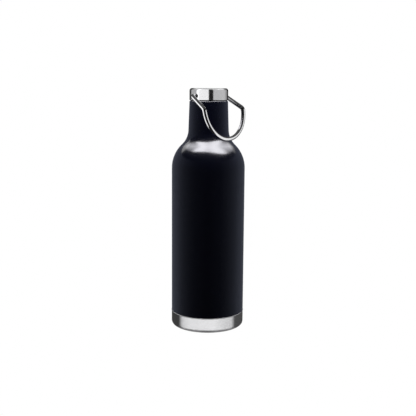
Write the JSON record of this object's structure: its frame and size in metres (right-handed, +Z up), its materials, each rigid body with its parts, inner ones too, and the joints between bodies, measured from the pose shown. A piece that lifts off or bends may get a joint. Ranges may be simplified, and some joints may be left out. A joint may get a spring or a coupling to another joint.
{
  "type": "insulated growler",
  "caption": "Bottle-shaped double-walled steel growler with a satin dark coat, bare steel foot band, steel screw cap and a cranked wire bail that hangs by the neck.",
  "frame": {"origin": "middle of the foot, at the height of the surface it stands on", "axes": "+Z up along the bottle's axis; the bail's pivots lie along X and the bail hangs on the -Y side"},
  "size_m": [0.086, 0.086, 0.2825],
  "materials": {
    "powder_coat": "satin powder coat, near-black navy",
    "brushed_steel": "brushed round the axis",
    "polished_steel": "polished drawn wire",
    "liner_steel": "electropolished",
    "plain_steel": "plain rolled sheet",
    "copper": "bright foil",
    "solder_glass": "opaque solder glass",
    "getter_metal": "sintered",
    "silicone": "matte black silicone",
    "core_plastic": "black moulded polypropylene",
    "bush_plastic": "black acetal",
    "core_foam": "rigid foam",
    "adhesive_foam": "adhesive foam sheet"
  },
  "bodies": {
    "bottle": {"outer_shell": "powder_coat", "outer_bottom": "plain_steel", "seal_bead": "solder_glass", "base_cup": "brushed_steel", "inner_vessel": "liner_steel", "inner_bottom": "liner_steel", "copper_foil": "copper", "getter": "getter_metal", "getter_clip": "plain_steel"},
    "seal": {"mouth_gasket": "silicone"},
    "cap": {"cap_shell": "brushed_steel", "bond_disc": "adhesive_foam", "cap_core": "core_plastic", "core_foam": "core_foam", "core_floor": "core_plastic", "pivot_bush_right": "bush_plastic", "pivot_bush_left": "bush_plastic"},
    "handle": {"bail_handle": "polished_steel"}
  },
  "joints": [
    {"name": "cap_lift", "type": "slide", "parent": "bottle", "child": "seal", "axis": [0, 0, 1], "range_m": [0, 0.0401]},
    {"name": "cap_turn", "type": "hinge", "parent": "seal", "child": "cap", "pos_m": [0, 0, 0.2688], "axis": [0, 0, 1], "range_deg": [0, 1800]},
    {"name": "handle_swing", "type": "hinge", "parent": "cap", "child": "handle", "pos_m": [0, 0, 0.2736], "axis": [-1, 0, 0], "range_deg": [0, 297]}
  ],
  "couplings": [
    {"joint": "cap_lift", "follows": "cap_turn", "m_per_rad": 0.0012732}
  ]
}
